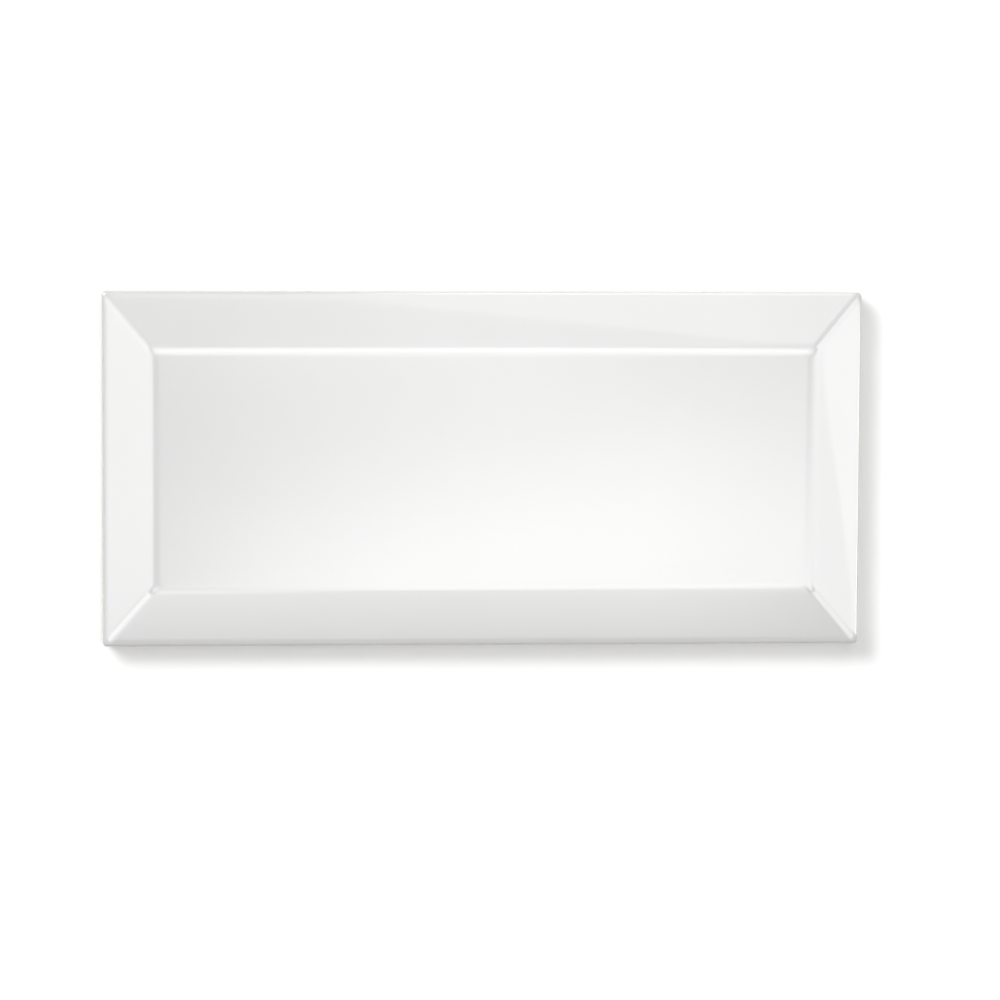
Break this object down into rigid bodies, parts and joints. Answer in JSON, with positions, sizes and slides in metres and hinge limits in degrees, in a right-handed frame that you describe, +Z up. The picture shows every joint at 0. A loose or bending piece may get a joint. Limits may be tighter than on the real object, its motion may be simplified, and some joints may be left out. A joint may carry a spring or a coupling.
{
  "type": "bevelled porcelain wall tile",
  "caption": "Oblong glazed porcelain wall tile with a raised flat face, wide mitred bevels on every side, upright joint edges and a keyed back for adhesive.",
  "frame": {"origin": "centre of the bed, the plane that the keyed back rests on", "axes": "+X along the tile, +Y across it, +Z up out of the glazed face"},
  "size_m": [0.15, 0.07, 0.008],
  "materials": {
    "glazed_porcelain": "clear gloss glaze over white on the face and bevels, bare matt biscuit on the back"
  },
  "bodies": {
    "root": {"bevelled_tile": "glazed_porcelain"}
  },
  "joints": []
}
